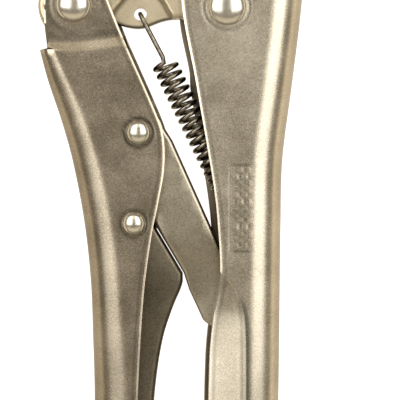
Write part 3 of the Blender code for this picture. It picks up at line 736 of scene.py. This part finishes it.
# ---------------------------------------------------------------- turned pieces
def turned(name, profile, material, steps=48):
    """A turned piece about z: (radius, height) from top to bottom, in millimetres."""
    mesh = bpy.data.meshes.new(name)
    edges = [(k, k + 1) for k in range(len(profile) - 1)]
    mesh.from_pydata([(r * MM, 0.0, z * MM) for r, z in profile], edges, [])
    piece = new_piece(name, mesh, material)
    screw = piece.modifiers.new("turn", "SCREW")
    screw.steps = screw.render_steps = steps
    screw.use_merge_vertices = True
    screw.merge_threshold = 0.000002
    screw.use_smooth_shade = True
    return piece


def make_rivet(name, spot, head_r, shank_r, seat, material, top=REST_DEPTH):
    """Domed head at the near side, flat-topped closing head at the far side."""
    base = seat - 0.1
    rise = top - base
    angles = [math.radians(a) for a in range(0, 87, 6)]
    dome = [(head_r * math.sin(a), base + rise * math.cos(a)) for a in angles]
    tail_r = head_r - 0.4
    profile = dome + [(head_r, base), (shank_r, base), (shank_r, -base), (tail_r, -base)]
    profile += [(tail_r - 0.05, -base - 0.5), (tail_r - 0.9, -REST_DEPTH + 0.25),
                (tail_r - 1.25, -REST_DEPTH), (0.0, -REST_DEPTH)]
    rivet = turned(name, profile, material)
    rivet.location = place(*spot)
    rivet = applied(rivet)
    soften(rivet, 45.0)
    return rivet


# ---------------------------------------------------------------- spring
def make_spring(material):
    """Tension spring: hook, straight wire, close coil, hook over the tab."""
    wire_r, coil_r, pitch, turns, start = 0.62, 3.0, 2.25, 23, 14.8
    hole = Vector((*SPRING_HOLE, 0.0))
    tab = Vector((*SPRING_TAB, 0.0))
    axis = (tab - hole).normalized()
    across = Vector((-axis.y, axis.x, 0.0))
    up = Vector((0.0, 0.0, 1.0))
    over = WEB_HALF + wire_r + 0.3
    hook = [hole + axis * 2.6 - up * (over + 0.2), hole + axis * 0.9 - up * over, hole - up * 1.8,
            hole + up * 1.8, hole + axis * 0.9 + up * over, hole + axis * 3.0 + up * (over + 0.02)]
    coil = []
    per_turn = 20
    for k in range(turns * per_turn + 1):
        angle = math.tau * k / per_turn
        coil.append(hole + axis * (start + pitch * k / per_turn) + up * coil_r * math.cos(angle)
                    - across * coil_r * math.sin(angle))
    lead_in = [hole + axis * (start - 1.6) + up * coil_r + across * 0.35]
    end = [tab - axis * 3.4 + up * 2.4, tab + axis * 1.2 + up * 2.4, tab + axis * 2.2 + up * 1.2,
           tab + axis * 2.2 - up * 1.6]
    curve = bpy.data.curves.new("tension_spring_wire", "CURVE")
    curve.dimensions = "3D"
    curve.bevel_depth = wire_r * MM
    curve.bevel_resolution = 3
    curve.use_fill_caps = True
    path = hook + lead_in + coil + end
    spline = curve.splines.new("POLY")
    spline.points.add(len(path) - 1)
    for point, spot in zip(spline.points, path):
        point.co = (*place(*spot), 1.0)
    wire = bpy.data.objects.new("tension_spring_wire", curve)
    bpy.context.scene.collection.objects.link(wire)
    wire = applied(wire)
    body = bmesh.new()
    body.from_mesh(wire.data)
    bmesh.ops.remove_doubles(body, verts=body.verts, dist=0.002 * MM)
    body.to_mesh(wire.data)
    body.free()
    wire.data.materials.clear()
    wire.data.materials.append(material)
    wire.data.shade_smooth()
    return wire


# ---------------------------------------------------------------- adjusting screw
def lathe(name, rings, segments, radius_at, material):
    """A closed round piece along -y, from rings at places; radius_at(place, turn) gives its radius."""
    body = bmesh.new()
    loops = []
    for along in rings:
        loop = []
        for k in range(segments):
            angle = math.tau * k / segments
            radius = radius_at(along, k / segments)
            x, z = SCREW_X + radius * math.cos(angle), radius * math.sin(angle)
            loop.append(body.verts.new(place(x, along, z)))
        loops.append(loop)
    for first, second in zip(loops, loops[1:]):
        for k in range(segments):
            n = (k + 1) % segments
            body.faces.new((first[k], first[n], second[n], second[k]))
    body.faces.new(loops[0][::-1])
    body.faces.new(loops[-1])
    bmesh.ops.recalc_face_normals(body, faces=body.faces)
    mesh = bpy.data.meshes.new(name)
    body.to_mesh(mesh)
    body.free()
    return new_piece(name, mesh, material)


def make_screw(material):
    """Threaded rod and its knurled knob, in one piece."""
    top, knob_top, end = -107.0, -168.0, -190.0
    pitch, outer, deep, knob_r = 2.0, 4.3, 0.9, 9.3
    knurl_rows, knurl_pitch, knurl_depth = 36, 1.55, 0.42

    def thread(along, turn):
        phase = ((top - along) / pitch + turn) % 1.0
        ridge = min(1.0, 2.4 * abs(1 - 2 * phase))
        fade = min(1.0, (top - along) / pitch, (along - knob_top + 1.0) / pitch)
        return outer - deep * ridge * max(fade, 0.0) - 0.4 * (1 - max(fade, 0.0))

    rod_rows = [top - (top - knob_top + 1.0) * k / 312 for k in range(313)]
    rod = lathe("adjusting_screw_and_knob", rod_rows, 32, thread, material)

    outline = [(knob_top, knob_r - 3.2), (knob_top - 0.3, knob_r - 2.4), (knob_top - 1.4, knob_r - 1.1),
               (knob_top - 2.6, knob_r - 0.12), (knob_top - 3.2, knob_r), (end + 2.6, knob_r),
               (end + 2.0, knob_r - 0.12), (end + 0.4, knob_r - 1.5), (end, knob_r - 2.4)]

    def knurl(along, turn):
        radius = min(eased([(-a, r) for a, r in outline], -along), knob_r)
        grip = step(knob_top - 3.2, knob_top - 4.2, along) * step(end + 2.8, end + 3.8, along)
        across = turn * knurl_rows
        down = along / knurl_pitch
        left = abs(((across + down) % 1.0) - 0.5) * 2
        right = abs(((across - down) % 1.0) - 0.5) * 2
        return radius - knurl_depth * grip * max(0.0, 1 - 1.5 * min(left, right))

    knob_rows = [knob_top - (knob_top - end) * k / 110 for k in range(111)]
    knob = lathe("knob", knob_rows, 216, knurl, material)
    screw = merged(rod, knob)
    soften(screw, 50.0)
    return screw


def make_nose(material):
    """The screw's plain front end."""
    rows = [-100.9, -101.2, -102.0, -106.7]
    radii = {-100.9: 2.7, -101.2: 3.3, -102.0: 3.9, -106.7: 3.9}
    nose = lathe("screw_plain_nose", rows, 48, lambda along, turn: radii[along], material)
    soften(nose, 35.0)
    return nose


# ---------------------------------------------------------------- stage
VIEW_MIDDLE = (-7.35, -52.2)
VIEW_WIDTH = 108.0
BROWN_LIGHT = (1.0, 0.88, 0.70, 1.0)


def make_stage():
    """Pale floor, studio panels round the view, and the camera above."""
    grey, black, white_glow = (0.5, 0.5, 0.5, 1.0), (0.0, 0.0, 0.0, 1.0), (1.0, 1.0, 1.0, 1.0)
    floor = glowing_sheet("pale_floor", -0.0005, grey, 0.95, white_glow, 1.0)
    floor.visible_glossy = False
    under = glowing_sheet("under_card", -0.001, black, 0.5, BROWN_LIGHT, 0.7)
    under.visible_camera = under.visible_diffuse = under.visible_shadow = False

    world = bpy.data.worlds.new("studio")
    bpy.context.scene.world = world
    world.use_nodes = True
    world.node_tree.nodes["Background"].inputs["Color"].default_value = BROWN_LIGHT
    world.node_tree.nodes["Background"].inputs["Strength"].default_value = 0.28

    flat, turn = (0.0, 0.0, 0.0), math.radians(90)
    white, brown = (1.0, 0.99, 0.95), (1.0, 0.86, 0.64)
    # Two white soft boxes leave a dark gap over the flats; the brown cards tint what turns away from them.
    panel("right_soft_box", (0.62, 0.74, 1.0), (0.84, 1.72), flat, 2.3, white)
    panel("left_soft_box", (-0.70, 0.74, 1.0), (0.96, 1.72), flat, 2.3, white)
    panel("back_card", (0.0, 1.25, 1.0), (0.42, 1.2), flat, 0.65, brown)
    panel("front_card", (0.0, -1.1, 0.9), (2.4, 1.2), flat, 0.48, brown)
    panel("right_card", (1.4, 0.0, 0.18), (0.45, 3.0), (0.0, turn, 0.0), 0.75, brown)
    panel("left_card", (-1.4, 0.0, 0.18), (0.45, 3.0), (0.0, -turn, 0.0), 0.6, brown)

    middle = place(*VIEW_MIDDLE)
    camera_data = bpy.data.cameras.new("camera")
    camera = bpy.data.objects.new("camera", camera_data)
    bpy.context.scene.collection.objects.link(camera)
    height = 0.75
    camera.location = middle + Vector((0.0, 0.0, height))
    camera_data.sensor_width = 36.0
    camera_data.lens = 36.0 * (height - HANDLE_HALF * MM) / (VIEW_WIDTH * MM)
    camera_data.clip_start = 0.01
    bpy.context.scene.camera = camera
    bpy.context.scene.view_settings.view_transform = "Standard"


def glowing_sheet(name, height, base, roughness, glow, strength):
    """A wide flat sheet under the tool that gives light of its own."""
    bpy.ops.mesh.primitive_plane_add(size=6.0, location=(0, 0, height))
    sheet = bpy.context.object
    sheet.name = name
    material = bpy.data.materials.new(name)
    material.use_nodes = True
    shader = material.node_tree.nodes["Principled BSDF"]
    shader.inputs["Base Color"].default_value = base
    shader.inputs["Roughness"].default_value = roughness
    shader.inputs["Emission Color"].default_value = glow
    shader.inputs["Emission Strength"].default_value = strength
    sheet.data.materials.append(material)
    return sheet


def panel(name, spot, size, turn, radiance, colour):
    """A rectangular lamp of an even brightness, placed from the middle of the view, in metres."""
    light = bpy.data.lights.new(name, "AREA")
    light.shape = "RECTANGLE"
    light.size, light.size_y = size
    light.energy = radiance * math.pi * size[0] * size[1]
    light.color = colour
    lamp = bpy.data.objects.new(name, light)
    bpy.context.scene.collection.objects.link(lamp)
    lamp.location = place(*VIEW_MIDDLE) + Vector(spot)
    lamp.rotation_euler = turn
    lamp.visible_camera = False


# ---------------------------------------------------------------- assembly
def main():
    nickel = satin_nickel("satin_nickel_fixed_handle", (0.76, 0.695, 0.58), (0.48, 0.43, 0.34), 0.27)
    # Painted shade: the movable handle's plate is a darker copy of the fixed handle's, for the dimmer
    # light on that side.
    shaded_nickel = satin_nickel("satin_nickel_movable_handle_shaded", (0.54, 0.475, 0.38), (0.29, 0.25, 0.185), 0.25)
    # Painted shade: the channels' inner faces get a near-black copy of the plate.
    inside = satin_nickel("channel_inside_shaded", (0.16, 0.135, 0.10), (0.08, 0.065, 0.045), 0.45)
    forged = satin_nickel("satin_nickel_jaws", (0.80, 0.71, 0.53), (0.58, 0.50, 0.35), 0.32)
    bar = satin_nickel("satin_nickel_link", (0.60, 0.545, 0.44), (0.38, 0.34, 0.26), 0.28)
    # Painted shade: the lever's plate is darkened for the shadow it lies in under the link and between the
    # handles.
    dull = satin_nickel("nickel_lever_shaded", (0.22, 0.19, 0.14), (0.10, 0.085, 0.06), 0.32)
    burnished = polished_steel("burnished_rivet", (0.84, 0.80, 0.70), 0.22)
    turned_steel = polished_steel("turned_screw_steel", (0.72, 0.69, 0.61), 0.26)
    cut = sheared_edge()

    settle(make_fixed_handle((nickel, inside, cut)), "fixed_handle", "fixed_handle")
    settle(make_movable_handle((shaded_nickel, inside, cut)), "movable_handle", "movable_handle")
    settle(make_fixed_jaw(forged), "fixed_jaw", "fixed_handle")
    settle(make_movable_jaw(forged), "movable_jaw", "movable_jaw")
    settle(make_link(bar), "toggle_link", "toggle_link")
    settle(make_lever(dull), "release_lever", "release_lever")
    settle(make_screw(turned_steel), "adjusting_screw", "adjusting_screw")
    settle(make_nose(turned_steel), "screw_nose", "screw_nose")

    rivets = [("jaw_pivot_rivet", JAW_PIVOT, 5.1, 3.2, HANDLE_HALF, "fixed_handle", REST_DEPTH),
              ("handle_pivot_rivet", HANDLE_PIVOT, 4.9, 3.2, JOGGLE_HALF, "movable_handle", 8.5),
              ("link_rivet", LINK_PIVOT, 3.3, 2.2, HANDLE_HALF, "movable_handle", REST_DEPTH),
              ("release_lever_rivet", LEVER_PIVOT, 3.1, 1.9, HANDLE_HALF, "movable_handle", REST_DEPTH)]
    rivets += [(f"fixed_jaw_rivet_{end}", spot, 4.3, 2.6, HANDLE_HALF, "fixed_handle", REST_DEPTH)
               for end, spot in JAW_RIVETS.items()]
    for node, spot, head_r, shank_r, seat, body, top in rivets:
        rivet = make_rivet(node + "_turned", spot, head_r, shank_r, seat, burnished, top)
        settle(rivet, node, body)

    spring = make_spring(spring_wire())
    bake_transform(spring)
    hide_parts("tension_spring")

    make_stage()


main()
